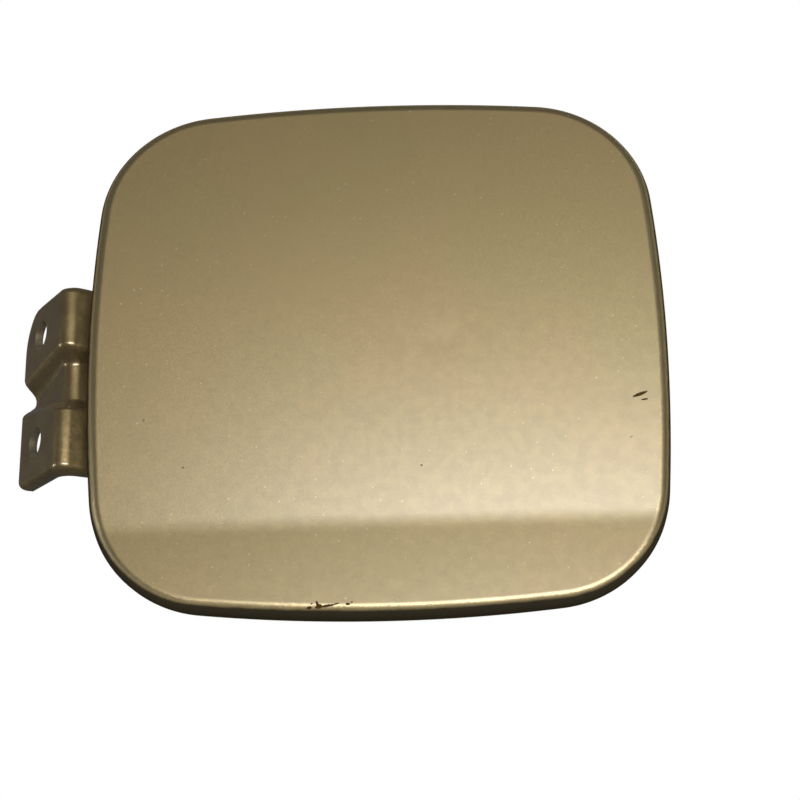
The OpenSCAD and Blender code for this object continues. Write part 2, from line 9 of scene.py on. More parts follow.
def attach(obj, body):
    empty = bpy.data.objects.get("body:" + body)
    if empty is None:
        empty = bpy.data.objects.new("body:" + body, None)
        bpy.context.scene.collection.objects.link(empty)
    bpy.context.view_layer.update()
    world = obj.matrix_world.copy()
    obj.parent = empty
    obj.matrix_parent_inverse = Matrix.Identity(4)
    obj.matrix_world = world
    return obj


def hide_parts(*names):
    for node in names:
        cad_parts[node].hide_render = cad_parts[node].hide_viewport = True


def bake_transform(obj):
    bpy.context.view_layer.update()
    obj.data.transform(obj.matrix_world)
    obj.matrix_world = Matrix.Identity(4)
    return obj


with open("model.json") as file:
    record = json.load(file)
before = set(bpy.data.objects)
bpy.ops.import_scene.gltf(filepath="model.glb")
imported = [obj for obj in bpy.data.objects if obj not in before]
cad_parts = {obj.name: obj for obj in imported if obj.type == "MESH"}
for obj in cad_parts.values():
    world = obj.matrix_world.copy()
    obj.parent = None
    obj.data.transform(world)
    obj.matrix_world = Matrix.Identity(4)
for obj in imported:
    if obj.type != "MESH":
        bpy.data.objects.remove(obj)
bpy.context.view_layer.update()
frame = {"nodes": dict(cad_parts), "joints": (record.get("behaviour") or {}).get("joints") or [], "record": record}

MM = 0.001
NODES = frame["nodes"]
BOLTS = frame["record"]["mounts"][0]["dims"]

# Lid sizes in mm, in the lid's own frame: x across, y depth away from the viewer, z up
LID_POS = np.array([92.584, -17.999, 4.3])
LID_W, LID_H = 152.2, 143.4
CORNER_R = 32.0
HINGE_SIDE_R, FREE_SIDE_R, TOP_R, BOTTOM_R = 490.0, 490.0, 590.0, 440.0
FREE_SIDE_PEAK, TOP_PEAK = 11.9, 3.6
SKIN_T, LID_D, EDGE_R, FOLD_R, FOLD_W = 0.8, 9.0, 3.6, 1.4, 7.0
STRIP_END_BREAK = 0.25
CROWN_V, CROWN_H = 700.0, 1500.0
# The crease runs slightly higher than in the solids and not quite level, as in the photograph
CREASE_UP, CREASE_ANGLE, CREASE_W, CREASE_TILT = 24.0, 10.2, 4.0, -0.0027
# The soft dent right of the middle: place, half sizes and depth in mm
DENT_AT, DENT_SIZE, DENT_D = (16.5, -1.0), (4.5, 3.2), 0.07
# Faces along each side of the outline, each half corner, the rolled edge, the fold and the wall
SIDE_PARTS, CORNER_PARTS, ROLL_PARTS, FOLD_PARTS, WALL_PARTS = 72, 20, 12, 5, 4

# Hinge sizes in mm, in the row frame
PIN = np.array(frame["joints"][0]["pos_m"][:2]) / MM
HINGE_Z = -0.8
PIN_D, PIN_CLEAR = 5.0, 0.05
LEG_ANGLE = 36.4
BRACKET_T, BEAD_D, BEAD_DROP, BEAD_LOWER = 2.2, 3.2, 9.4, 4.5
LEAF_T, LEAF_IN, FRAME_Y = 2.0, 8.2, 10.0
PIN_LID_Y = PIN[1] - LID_POS[1]

# Spring sizes in mm
WIRE_D, COIL_CLEAR, COIL_TURNS, SPRING_REACH = 1.5, 0.35, 5, 14.0
COIL_END_GAP, WIRE_SEAT, LEG_SEAT_SHARE = 0.6, 0.05, 0.65
# The wire's end on the lid: shares of its reach and seat, then of the coil's radius
LID_END_FAR = ((1.0, 1.0), (0.86, 0.97), (0.74, 0.7))
LID_END_NEAR = ((1.6, 0.35), (1.1, 0.8), (0.6, 0.97))
# Its end on the bracket leaves the coil, and is seated, at these shares of the coil's radius.
# In between it has gone this share of the way to its seat
LEG_END_LEAVES, LEG_END_SEATED, LEG_END_SINKS = (0.6, 1.05), 1.4, 0.6
TURN_PARTS, CURVE_CUTS, WIRE_SIDES, CUT_END_SHARE = 20, 3, 16, 0.7


# Lid skin
def side_arc(peak, direction, r):
    """An outline side as its arc's centre and radius."""
    return np.array(peak, float) - r * np.array(direction, float), r


LID_SIDES = [
    side_arc((LID_W / 2, FREE_SIDE_PEAK), (1, 0), FREE_SIDE_R),
    side_arc((TOP_PEAK, LID_H / 2), (0, 1), TOP_R),
    side_arc((-LID_W / 2, 0), (-1, 0), HINGE_SIDE_R),
    side_arc((TOP_PEAK, -LID_H / 2), (0, -1), BOTTOM_R),
]


def meet(a, ra, b, rb):
    """Where two circles cross, on the left of the way from a to b."""
    d = np.linalg.norm(b - a)
    e = (b - a) / d
    x = (ra * ra - rb * rb + d * d) / (2 * d)
    return a + x * e + math.sqrt(ra * ra - x * x) * np.array([-e[1], e[0]])


def heading(v):
    return math.atan2(v[1], v[0])


def turn_to(a, b):
    return b - a + 2 * math.pi if b < a else b - a


def arc_points(c, r, start, sweep, parts):
    turns = [start + sweep * k / parts for k in range(parts)]
    return [c + r * np.array([math.cos(t), math.sin(t)]) for t in turns]


def outline(inset):
    """The lid's closed outline, drawn inward by inset."""
    out = []
    for i in range(4):
        prev, prev_r = LID_SIDES[i - 1]
        here, here_r = LID_SIDES[i]
        following, following_r = LID_SIDES[(i + 1) % 4]
        k0 = meet(prev, prev_r - CORNER_R, here, here_r - CORNER_R)
        k1 = meet(here, here_r - CORNER_R, following, following_r - CORNER_R)
        a0, a1 = heading(k0 - here), heading(k1 - here)
        before, after = heading(k0 - prev), heading(k1 - following)
        turn_in, turn_out = turn_to(before, a0), turn_to(a1, after)
        out += arc_points(k0, CORNER_R - inset, before + turn_in / 2, turn_in / 2, CORNER_PARTS)
        out += arc_points(here, here_r - inset, a0, turn_to(a0, a1), SIDE_PARTS)
        out += arc_points(k1, CORNER_R - inset, a1, turn_out / 2, CORNER_PARTS)
    return np.array(out)


CREASE_Z = CREASE_UP - LID_H / 2
TAN_CREASE = math.tan(math.radians(CREASE_ANGLE))


def crease_ramp(x, z):
    """Distance below the crease, rounded over its width, and how fast it grows downward."""
    below = CREASE_Z + CREASE_TILT * x - z
    mid = (below + CREASE_W / 2) ** 2 / (2 * CREASE_W)
    ramp = np.where(below < -CREASE_W / 2, 0.0, np.where(below > CREASE_W / 2, below, mid))
    return ramp, np.clip((below + CREASE_W / 2) / CREASE_W, 0.0, 1.0)


def dent(x, z):
    """Depth of the soft dent, and its slopes along x and z."""
    dx, dz = (x - DENT_AT[0]) / DENT_SIZE[0], (z - DENT_AT[1]) / DENT_SIZE[1]
    depth = DENT_D * np.exp(-(dx * dx + dz * dz))
    return depth, -2 * dx / DENT_SIZE[0] * depth, -2 * dz / DENT_SIZE[1] * depth


def face_y(p):
    x, z = p[..., 0], p[..., 1]
    crown = x * x / (2 * CROWN_H) + z * z / (2 * CROWN_V)
    return crown - TAN_CREASE * crease_ramp(x, z)[0] + dent(x, z)[0]


def face_normal(p):
    x, z = p[..., 0], p[..., 1]
    _, dent_x, dent_z = dent(x, z)
    slope = TAN_CREASE * crease_ramp(x, z)[1]
    across, up = x / CROWN_H - CREASE_TILT * slope + dent_x, z / CROWN_V + slope + dent_z
    n = np.stack([across, -np.ones_like(x), up], -1)
    return n / np.linalg.norm(n, axis=-1, keepdims=True)


def on_face(p, drop=0.0):
    return np.stack([p[..., 0], face_y(p) + drop, p[..., 1]], -1)


def at_depth(p, y):
    return np.stack([p[..., 0], np.full(len(p), float(y)), p[..., 1]], -1)


def coons(loop, n):
    """Grid of (n + 1) x (n + 1) points stretched over a loop of 4 * n points."""
    i = np.arange(n + 1)
    south, north = loop[(3 * n + i) % (4 * n)], loop[2 * n - i]
    west, east = loop[3 * n - i], loop[i]
    a, b = (i / n)[None, :, None], (i / n)[:, None, None]
    lines = south[None] * (1 - b) + north[None] * b + west[:, None] * (1 - a) + east[:, None] * a
    corners = (loop[3 * n] * (1 - a) + loop[0] * a) * (1 - b) + (loop[2 * n] * (1 - a) + loop[n] * a) * b
    return lines - corners


def mesh_object(name, points, faces, smooth=True):
    mesh = bpy.data.meshes.new(name)
    mesh.from_pydata([tuple(p) for p in points], [], [tuple(int(i) for i in f) for f in faces])
    mesh.validate()
    if smooth:
        mesh.shade_smooth()
    obj = bpy.data.objects.new(name, mesh)
    bpy.context.scene.collection.objects.link(obj)
    return obj


def quarter(parts):
    """Sines and cosines of the angles from 0 to 90 degrees."""
    angles = [math.pi / 2 * k / parts for k in range(parts + 1)]
    return [(math.sin(a), math.cos(a)) for a in angles]


def rolled_edge():
    """From the face round the pressed edge: inset from the outline, and drop below the face."""
    return [(EDGE_R * (1 - s), EDGE_R * (1 - c)) for s, c in quarter(ROLL_PARTS)]


def folded_strip():
    """From the wall's end round the fold and the strip, and back inside: inset, and depth in the lid."""
    inner_r = FOLD_R - SKIN_T
    outside = [(FOLD_R * (1 - c), LID_D - FOLD_R * (1 - s)) for s, c in quarter(FOLD_PARTS)]
    end = [(FOLD_W / 2, LID_D), (FOLD_W - STRIP_END_BREAK, LID_D),
           (FOLD_W, LID_D - STRIP_END_BREAK), (FOLD_W, LID_D - SKIN_T)]
    inside = [(FOLD_R - inner_r * c, LID_D - FOLD_R + inner_r * s) for s, c in quarter(FOLD_PARTS)[::-1]]
    return outside + end + inside


def edge_loops():
    """The skin's loops from the front of the face's rim to its back, each with its way down the side."""
    loops = []
    for inset, drop in rolled_edge():
        loops.append((on_face(outline(inset), drop), 0.5 * (1 - inset / EDGE_R)))
    wall = outline(0.0)
    top, end = on_face(wall, EDGE_R), at_depth(wall, LID_D - FOLD_R)
    for k in range(1, WALL_PARTS):
        share = k / WALL_PARTS
        loops.append((top * (1 - share) + end * share, 0.5 + 0.25 * share))
    loops += [(at_depth(outline(inset), depth), 1.0) for inset, depth in folded_strip()]
    inner_r = EDGE_R - SKIN_T
    for s, c in quarter(ROLL_PARTS)[::-1]:
        loops.append((on_face(outline(EDGE_R - inner_r * s), EDGE_R - inner_r * c), 1.0))
    return loops


def grid_index(i, j, n, ring, start):
    """Point number in a grid whose border is a ring of 4 * n points, and whose inside begins at start."""
    if i == n:
        return ring + j
    if j == n:
        return ring + 2 * n - i
    if i == 0:
        return ring + 3 * n - j
    if j == 0:
        return ring + 3 * n + i
    return start + (j - 1) * (n - 1) + i - 1


def make_skin():
    n = SIDE_PARTS + 2 * CORNER_PARTS
    around = 4 * n
    loops = edge_loops()
    last_ring = (len(loops) - 1) * around
    rim = outline(EDGE_R)
    inner = coons(rim, n)[1:n, 1:n].reshape(-1, 2)
    front_at = len(loops) * around
    back_at = front_at + len(inner)
    faces = []
    for ring in range(0, last_ring, around):
        for i in range(around):
            j = (i + 1) % around
            faces.append((ring + i, ring + around + i, ring + around + j, ring + j))
    for j in range(n):
        for i in range(n):
            cell = ((i, j), (i + 1, j), (i + 1, j + 1), (i, j + 1))
            faces.append([grid_index(*c, n, 0, front_at) for c in cell])
            faces.append([grid_index(*c, n, last_ring, back_at) for c in cell[::-1]])
    points = np.concatenate([loop for loop, _ in loops] + [on_face(inner), on_face(inner, SKIN_T)])
    obj = mesh_object("lid_skin", (points + LID_POS) * MM, faces)
    # The face has its exact normals; a zero leaves a point's normal to Blender
    normals = np.zeros((len(points), 3))
    normals[front_at:back_at] = face_normal(inner)
    normals[0:around] = face_normal(rim)
    obj.data.normals_split_custom_set_from_vertices([tuple(v) for v in normals])
    # Way down the side: 0 on the face, 0.5 at the wall, 1 in the fold
    side = np.zeros(len(points), np.float32)
    for k, (_, way) in enumerate(loops):
        side[k * around:(k + 1) * around] = way
    obj.data.attributes.new("side", "FLOAT", "POINT").data.foreach_set("value", side)
    return obj


# Spring
def along_leg(back, depth):
    """A place beside the bracket's leg, from the pin: along it, and away from it."""
    a = math.radians(LEG_ANGLE)
    return back * np.array([-math.cos(a), -math.sin(a)]) + depth * np.array([-math.sin(a), math.cos(a)])


def spring_path():
    """Centre line of the wire from the lid to the bracket, and the height of the coil's end."""
    coil_r = PIN_D / 2 + COIL_CLEAR + WIRE_D / 2
    coil_z = LEAF_IN - COIL_END_GAP - WIRE_D / 2
    pad_seat = FRAME_Y + LEAF_T + WIRE_D / 2 + WIRE_SEAT - PIN_LID_Y
    # The wire's end rests on the lower slope of the bead
    share = (1 - math.cos(math.pi * min(max((BEAD_DROP - coil_z) / BEAD_LOWER, 0.0), 1.0))) / 2
    leg_seat = PIN_D / 2 + PIN_CLEAR + BRACKET_T + BEAD_D * share + WIRE_D * LEG_SEAT_SHARE + WIRE_SEAT
    lid_end = [(SPRING_REACH * u, pad_seat * v) for u, v in LID_END_FAR]
    lid_end += [(coil_r * u, coil_r * v) for u, v in LID_END_NEAR]
    # The other end leaves the coil, sinks to its seat and runs along the leg
    bracket_end = [along_leg(coil_r * LEG_END_LEAVES[0], coil_r * LEG_END_LEAVES[1]),
                   along_leg(coil_r, coil_r + (leg_seat - coil_r) * LEG_END_SINKS),
                   along_leg(coil_r * LEG_END_SEATED, leg_seat),
                   along_leg(SPRING_REACH, leg_seat)]
    steps = COIL_TURNS * TURN_PARTS
    sweep = 360 * COIL_TURNS + LEG_ANGLE
    path = [(x, y, coil_z) for x, y in lid_end]
    for k in range(steps + 1):
        t = k / steps
        b = math.radians(90 + sweep * t)
        path.append((coil_r * math.cos(b), coil_r * math.sin(b), coil_z * (1 - 2 * t)))
    path += [(p[0], p[1], -coil_z) for p in bracket_end]
    return np.array(path, float), coil_z


def smooth_path(path, cuts):
    """The same points joined by a centripetal curve."""
    p = np.vstack([2 * path[0] - path[1], path, 2 * path[-1] - path[-2]])
    out = []
    for i in range(1, len(p) - 2):
        p0, p1, p2, p3 = p[i - 1], p[i], p[i + 1], p[i + 2]
        d1, d2, d3 = (max(np.linalg.norm(b - a), 1e-6) ** 0.5 for a, b in ((p0, p1), (p1, p2), (p2, p3)))
        m1 = (p2 - p1) + d2 * ((p1 - p0) / d1 - (p2 - p0) / (d1 + d2))
        m2 = (p2 - p1) + d2 * ((p3 - p2) / d3 - (p3 - p1) / (d2 + d3))
        for k in range(cuts):
            t = k / cuts
            out.append((2 * t**3 - 3 * t**2 + 1) * p1 + (t**3 - 2 * t**2 + t) * m1
                       + (-2 * t**3 + 3 * t**2) * p2 + (t**3 - t**2) * m2)
    out.append(path[-1])
    return np.array(out)


def tube(path, radius, sides, end_share):
    """Round wire along a path. Its cut ends are slightly rounded."""
    along = np.gradient(path, axis=0)
    along /= np.linalg.norm(along, axis=1, keepdims=True)
    side = np.cross(along, (0, 0, 1.0))
    side /= np.linalg.norm(side, axis=1, keepdims=True)
    up = np.cross(side, along)
    count = len(path)
    shares = [end_share] + [1.0] * (count - 2) + [end_share]
    b = np.arange(sides)[:, None] * 2 * math.pi / sides
    circles = [np.cos(b) * side[i] + np.sin(b) * up[i] for i in range(count)]
    rings = [path[i] + radius * shares[i] * circles[i] for i in range(count)]
    faces = []
    for ring in range(0, (count - 1) * sides, sides):
        for k in range(sides):
            j = (k + 1) % sides
            faces.append((ring + k, ring + j, ring + sides + j, ring + sides + k))
    faces.append(tuple(range(sides - 1, -1, -1)))
    faces.append(tuple((count - 1) * sides + k for k in range(sides)))
    return np.concatenate(rings), faces


def make_spring():
    path, coil_z = spring_path()
    points, faces = tube(smooth_path(path, CURVE_CUTS), WIRE_D / 2, WIRE_SIDES, CUT_END_SHARE)
    obj = mesh_object("spring_wire", (points + np.array([PIN[0], PIN[1], HINGE_Z])) * MM, faces)
    return obj, coil_z


# Node trees
class Graph:
    """Short way to write a node tree."""

    def __init__(self, tree):
        self.tree = tree

    def node(self, kind):
        return self.tree.nodes.new(kind)

    def link(self, value, socket):
        if isinstance(value, (int, float)):
            socket.default_value = value
        elif isinstance(value, tuple):
            socket.default_value = value if len(value) == len(socket.default_value) else (*value, 1.0)
        else:
            self.tree.links.new(value, socket)

    def math(self, operation, a, b=0.0, clamp=False):
        node = self.node("ShaderNodeMath")
        node.operation = operation
        node.use_clamp = clamp
        self.link(a, node.inputs[0])
        self.link(b, node.inputs[1])
        return node.outputs[0]

    def ramp(self, value, low, high, out_low=0.0, out_high=1.0, smooth=True):
        node = self.node("ShaderNodeMapRange")
        node.interpolation_type = "SMOOTHSTEP" if smooth else "LINEAR"
        for v, socket in zip((value, low, high, out_low, out_high), node.inputs):
            self.link(v, socket)
        return node.outputs[0]

    def axes(self, vector):
        node = self.node("ShaderNodeSeparateXYZ")
        self.link(vector, node.inputs[0])
        return node.outputs


class Surface(Graph):
    """A material whose textures are laid out in mm."""

    def __init__(self, name):
        self.material = bpy.data.materials.new(name)
        self.material.use_nodes = True
        super().__init__(self.material.node_tree)
        self.shader = self.tree.nodes["Principled BSDF"]
        self.mm = self.scaled(self.node("ShaderNodeTexCoord").outputs["Object"], 1 / MM)

    def scaled(self, a, scale):
        node = self.node("ShaderNodeVectorMath")
        node.operation = "SCALE"
        self.link(a, node.inputs[0])
        self.link(scale, node.inputs["Scale"])
        return node.outputs[0]

    def vector(self, operation, a, b=(0.0, 0.0, 0.0)):
        node = self.node("ShaderNodeVectorMath")
        node.operation = operation
        self.link(a, node.inputs[0])
        self.link(b, node.inputs[1])
        return node.outputs[0]

    def noise(self, scale, detail=3.0, rough=0.5):
        node = self.node("ShaderNodeTexNoise")
        self.link(self.mm, node.inputs["Vector"])
        node.inputs["Scale"].default_value = scale
        node.inputs["Detail"].default_value = detail
        node.inputs["Roughness"].default_value = rough
        return node.outputs["Fac"]

    def voronoi(self, scale, output="Color"):
        node = self.node("ShaderNodeTexVoronoi")
        self.link(self.mm, node.inputs["Vector"])
        node.inputs["Scale"].default_value = scale
        return node.outputs[output]

    def mix(self, factor, a, b):
        node = self.node("ShaderNodeMix")
        node.data_type = "RGBA"
        self.link(factor, node.inputs["Factor"])
        self.link(a, node.inputs[6])
        self.link(b, node.inputs[7])
        return node.outputs[2]

    def share(self, mask, amount):
        return self.math("MULTIPLY", mask, amount)

    def lacking(self, mask):
        return self.math("SUBTRACT", 1.0, mask, clamp=True)

    def join(self, masks):
        out = masks[0]
        for mask in masks[1:]:
            out = self.math("MAXIMUM", out, mask)
        return out

    def bump(self, height, distance, strength=1.0, normal=None):
        node = self.node("ShaderNodeBump")
        node.inputs["Strength"].default_value = strength
        node.inputs["Distance"].default_value = distance
        self.link(height, node.inputs["Height"])
        if normal is not None:
            self.link(normal, node.inputs["Normal"])
        return node.outputs[0]

    def attribute(self, name):
        node = self.node("ShaderNodeAttribute")
        node.attribute_name = name
        return node.outputs["Fac"]

    def set(self, **values):
        for name, value in values.items():
            self.link(value, self.shader.inputs[name.replace("_", " ")])

    def clear_coat(self, weight, roughness, ior):
        self.set(Coat_Weight=weight)
        self.shader.inputs["Coat Roughness"].default_value = roughness
        self.shader.inputs["Coat IOR"].default_value = ior

    def grain(self, colour, scale, contrast):
        """The colour, a little lighter or darker from flake to flake."""
        change = self.ramp(self.axes(self.voronoi(scale))[2], 0.0, 1.0, -contrast, contrast, smooth=False)
        return self.scaled(colour, self.math("ADD", 1.0, change))

    def flakes(self, scale, tilt):
        """Normals of metal flakes that lie nearly flat in the paint."""
        normal = self.node("ShaderNodeNewGeometry").outputs["Normal"]
        turned = self.vector("SUBTRACT", self.voronoi(scale), (0.5, 0.5, 0.5))
        return self.vector("NORMALIZE", self.vector("ADD", normal, self.scaled(turned, tilt)))

    def blot(self, centre, size, angle, ragged, grain=1.2):
        """A ragged spot, 1 inside and 0 outside, at a place of the lid's x and z in mm."""
        middle = (LID_POS[0] + centre[0], 0.0, LID_POS[2] + centre[1])
        x, _, z = self.axes(self.vector("SUBTRACT", self.mm, middle))
        c, s = math.cos(math.radians(angle)), math.sin(math.radians(angle))
        along = self.math("ADD", self.share(x, c), self.share(z, s))
        across = self.math("SUBTRACT", self.share(z, c), self.share(x, s))
        u, v = self.math("DIVIDE", along, size[0]), self.math("DIVIDE", across, size[1])
        r = self.length(u, v)
        wobble = self.share(self.math("SUBTRACT", self.noise(grain, 3.0, 0.6), 0.5), 2 * ragged)
        rim = 0.25
        return self.ramp(self.math("ADD", r, wobble), 1.0 + rim / 2, 1.0 - rim / 2)

    def length(self, a, b):
        squares = self.math("ADD", self.math("MULTIPLY", a, a), self.math("MULTIPLY", b, b))
        return self.math("SQRT", squares)


# Materials
FLAKES_PER_MM, BRACKET_FLAKES_PER_MM = 3.2, 3.0
# Chips: place and half sizes in mm, angle in degrees, raggedness and grain. Specks keep the usual grain
CHIPS = (
    ((-18.2, -68.9), (0.6, 0.32), 8, 0.7, 1.9),
    ((-17.6, -68.0), (0.3, 0.2), 0, 0.6, 2.2),
    ((-16.2, -68.2), (0.35, 0.8), 12, 0.7, 1.7),
    ((-15.9, -68.7), (0.9, 0.55), 8, 0.8, 1.6),
    ((-14.1, -68.6), (2.1, 0.3), 7, 0.6, 1.9),
    ((-11.7, -68.2), (0.9, 0.16), 14, 0.5, 2.2),
    ((-8.8, -68.3), (0.55, 0.3), 0, 0.7, 2.0),
    ((-7.8, -67.9), (0.2, 0.28), -20, 0.5, 2.3),
    ((66.9, -16.6), (1.9, 0.42), 20, 0.45, 1.3),
    ((68.0, -18.0), (0.9, 0.2), 8, 0.4, 1.5),
)
SPECKS = (
    ((10.3, -33.8), (0.32, 0.26), 0, 0.3),
    ((-60.2, -19.5), (0.28, 0.3), 0, 0.3),
    ((-49.9, -32.3), (0.3, 0.25), 0, 0.3),
    ((63.8, -27.8), (0.45, 0.12), 30, 0.3),
)


def dusty_beige(m):
    """Beige paint with a few small pale specks of dust and coarse flakes."""
    beige, warm_beige, pale = (0.315, 0.242, 0.096), (0.332, 0.240, 0.098), (0.75, 0.68, 0.50)
    cells_per_mm, bare_share = 0.55, 0.72
    colour = m.mix(m.ramp(m.noise(0.03, 2.0, 0.5), 0.35, 0.65), beige, warm_beige)
    cells = m.axes(m.voronoi(cells_per_mm))
    size = m.ramp(cells[1], 0.0, 1.0, 0.05, 0.13, smooth=False)
    inside = m.math("LESS_THAN", m.voronoi(cells_per_mm, "Distance"), size)
    speck = m.math("MULTIPLY", inside, m.math("GREATER_THAN", cells[0], bare_share))
    return m.grain(m.mix(m.share(speck, 0.36), colour, pale), FLAKES_PER_MM, 0.07)


def wall_shade_mask(m, side):
    """Painted shade darkening the side wall and the outer part of the rolled edge. It reaches further up the lower
    edge, and is thin on the folded strip.
    """
    uneven = m.share(m.math("SUBTRACT", m.noise(0.25, 4.0, 0.6), 0.5), 0.07)
    lower = m.ramp(m.axes(m.mm)[2], -35.0, -58.0, 0.0, 0.11)
    painted_shade = m.ramp(m.math("ADD", m.math("ADD", side, lower), uneven), 0.22, 0.42)
    return m.math("MULTIPLY", painted_shade, m.ramp(side, 0.72, 0.95, 1.0, 0.35))


def lid_paint():
    m = Surface("lid_paint")
    # Near black of the painted shade on the side wall and lower rolled edge
    shade_black, dark_speck = (0.010, 0.0085, 0.006), (0.05, 0.036, 0.02)
    primer, dark_primer = (0.060, 0.030, 0.006), (0.014, 0.008, 0.004)
    side = m.attribute("side")
    painted_shade = wall_shade_mask(m, side)
    # The side wall and the lower rolled edge are painted near black: painted shade
    colour = m.mix(m.share(painted_shade, 0.98), dusty_beige(m), shade_black)
    # Chips go down to the brown primer, and none of them reaches the strip behind the face
    chips = m.join([m.blot(*chip) for chip in CHIPS])
    chips = m.math("MULTIPLY", chips, m.ramp(side, 0.5, 0.6, 1.0, 0.0))
    colour = m.mix(chips, colour, m.mix(m.noise(1.3, 2.0), primer, dark_primer))
    specks = m.join([m.blot(*speck) for speck in SPECKS])
    colour = m.mix(m.share(specks, 0.75), colour, dark_speck)
    worn = m.join([chips, m.share(specks, 0.7)])
    # Chips are wear; the darkened wall is painted shade; both lose gloss
    wear_and_shade = m.math("MAXIMUM", worn, painted_shade)
    m.set(Base_Color=colour)
    m.set(Metallic=m.math("MULTIPLY", m.math("SUBTRACT", 1.0, worn), m.ramp(painted_shade, 0.0, 1.0, 0.92, 0.0)))
    # The pressed edge is rubbed smoother than the face
    rubbed = m.ramp(side, 0.0, 0.12, 0.0, 0.24)
    rough = m.math("SUBTRACT", m.ramp(m.noise(0.35, 3.0), 0.3, 0.7, 0.60, 0.65), rubbed)
    m.set(Roughness=m.math("ADD", rough, m.share(wear_and_shade, 0.35), clamp=True))
    orange_peel = m.bump(m.noise(0.45, 2.0, 0.4), 0.012 * MM, 1.0, m.flakes(FLAKES_PER_MM, 0.10))
    m.set(Normal=m.bump(worn, 0.12 * MM, 0.6, orange_peel))
    m.clear_coat(m.lacking(wear_and_shade), 0.41, 1.79)
    # Chips, and the painted shade on the wall, are dull
    m.shader.inputs["Specular IOR Level"].default_value = 0.0
    return m.material


def bare_rings(m):
    """Bare metal round the bolt holes, where the screws sat."""
    a = math.radians(LEG_ANGLE)
    rings = []
    for z in (-BOLTS["pcd_mm"] / 2, BOLTS["pcd_mm"] / 2):
        x, y, up = m.axes(m.vector("SUBTRACT", m.mm, (0.0, 0.0, z)))
        along = m.math("ADD", m.share(x, -math.sin(a)), m.share(y, math.cos(a)))
        r = m.math("ADD", m.length(along, up), m.share(m.noise(0.8, 3.0), 0.7))
        rings.append(m.ramp(r, BOLTS["hole_r_mm"] + 0.55, BOLTS["hole_r_mm"] + 0.3))
    return m.join(rings)


def bracket_paint():
    m = Surface("bracket_paint")
    # These base colours are a darker copy of the lid's beige: painted shade on the bracket
    light, dark = (0.220, 0.163, 0.072), (0.190, 0.138, 0.060)
    bare_steel, scuffed = (0.33, 0.30, 0.25), (0.05, 0.04, 0.028)
    clouds = m.mix(m.ramp(m.noise(0.12, 3.0), 0.35, 0.65), light, dark)
    colour = m.grain(clouds, BRACKET_FLAKES_PER_MM, 0.08)
    colour = m.mix(m.share(bare_rings(m), 0.6), colour, bare_steel)
    scuffs = m.ramp(m.noise(0.5, 5.0, 0.7), 0.66, 0.74)
    m.set(Base_Color=m.mix(m.share(scuffs, 0.35), colour, scuffed), Metallic=0.9)
    m.clear_coat(1.0, 0.17, 1.6)
    m.set(Roughness=m.ramp(m.noise(0.4, 3.0), 0.3, 0.7, 0.40, 0.48))
    m.set(Normal=m.bump(m.noise(0.7, 3.0, 0.5), 0.03 * MM, 1.0, m.flakes(BRACKET_FLAKES_PER_MM, 0.07)))
    return m.material


def inner_paint(name, light, dark):
    m = Surface(name)
    dusty = (0.14, 0.112, 0.075)
    clouds = m.mix(m.ramp(m.noise(0.05, 3.0), 0.35, 0.65), light, dark)
    colour = m.grain(clouds, FLAKES_PER_MM, 0.07)
    dust = m.ramp(m.noise(0.12, 5.0, 0.6), 0.42, 0.80)
    m.set(Base_Color=m.mix(m.share(dust, 0.35), colour, dusty), Metallic=0.85)
    m.clear_coat(0.7, 0.41, 1.6)
    m.set(Roughness=m.math("ADD", m.ramp(m.noise(0.4, 3.0), 0.3, 0.7, 0.55, 0.62), m.share(dust, 0.2)))
    m.set(Normal=m.bump(m.noise(0.5, 3.0, 0.5), 0.03 * MM, 1.0, m.flakes(FLAKES_PER_MM, 0.08)))
    return m.material


def zinc():
    m = Surface("plated_steel")
    light, dark, stained = (0.56, 0.53, 0.46), (0.47, 0.45, 0.40), (0.20, 0.15, 0.09)
    crystals = m.axes(m.voronoi(0.9))[0]
    stain = m.ramp(m.noise(0.3, 5.0, 0.7), 0.52, 0.72)
    colour = m.mix(m.ramp(crystals, 0.0, 1.0), dark, light)
    m.set(Base_Color=m.mix(m.share(stain, 0.5), colour, stained), Metallic=1.0)
    m.set(Roughness=m.math("ADD", m.ramp(crystals, 0.0, 1.0, 0.30, 0.42), m.share(stain, 0.25)))
    m.set(Normal=m.bump(m.noise(1.5, 4.0, 0.6), 0.02 * MM, 0.6))
    return m.material


def spring_steel():
    m = Surface("spring_steel")
    dark, light, rusty = (0.16, 0.15, 0.14), (0.26, 0.245, 0.225), (0.16, 0.07, 0.025)
    streak = m.noise(2.5, 4.0, 0.6)
    rust = m.ramp(m.noise(0.7, 5.0, 0.7), 0.60, 0.72)
    colour = m.mix(m.ramp(streak, 0.3, 0.7), dark, light)
    m.set(Base_Color=m.mix(m.share(rust, 0.6), colour, rusty), Metallic=m.ramp(rust, 0.0, 1.0, 1.0, 0.3))
    m.set(Roughness=m.math("ADD", m.ramp(streak, 0.3, 0.7, 0.28, 0.4), m.share(rust, 0.3)))
    m.set(Normal=m.bump(streak, 0.02 * MM, 0.5))
    return m.material


def rubber():
    m = Surface("buffer_rubber")
    black, grey = (0.018, 0.018, 0.017), (0.035, 0.034, 0.031)
    cloud = m.noise(0.5, 4.0, 0.6)
    m.set(Base_Color=m.mix(m.ramp(cloud, 0.35, 0.7), black, grey))
    m.set(Roughness=m.ramp(cloud, 0.3, 0.7, 0.62, 0.8))
    m.set(Normal=m.bump(m.noise(3.0, 4.0, 0.6), 0.03 * MM, 0.7))
    return m.material


def floor_material():
    """Pale floor, which the paint mirrors as a dark one."""
    m = Surface("studio_floor")
    pale, palest, mirrored = (0.86, 0.86, 0.86), (0.88, 0.88, 0.88), (0.04, 0.04, 0.04)
    glossy = m.node("ShaderNodeLightPath").outputs["Is Glossy Ray"]
    m.set(Base_Color=m.mix(glossy, m.mix(m.noise(0.004, 2.0), pale, palest), mirrored), Roughness=0.7)
    return m.material


def give(obj, material):
    obj.data.materials.clear()
    obj.data.materials.append(material)


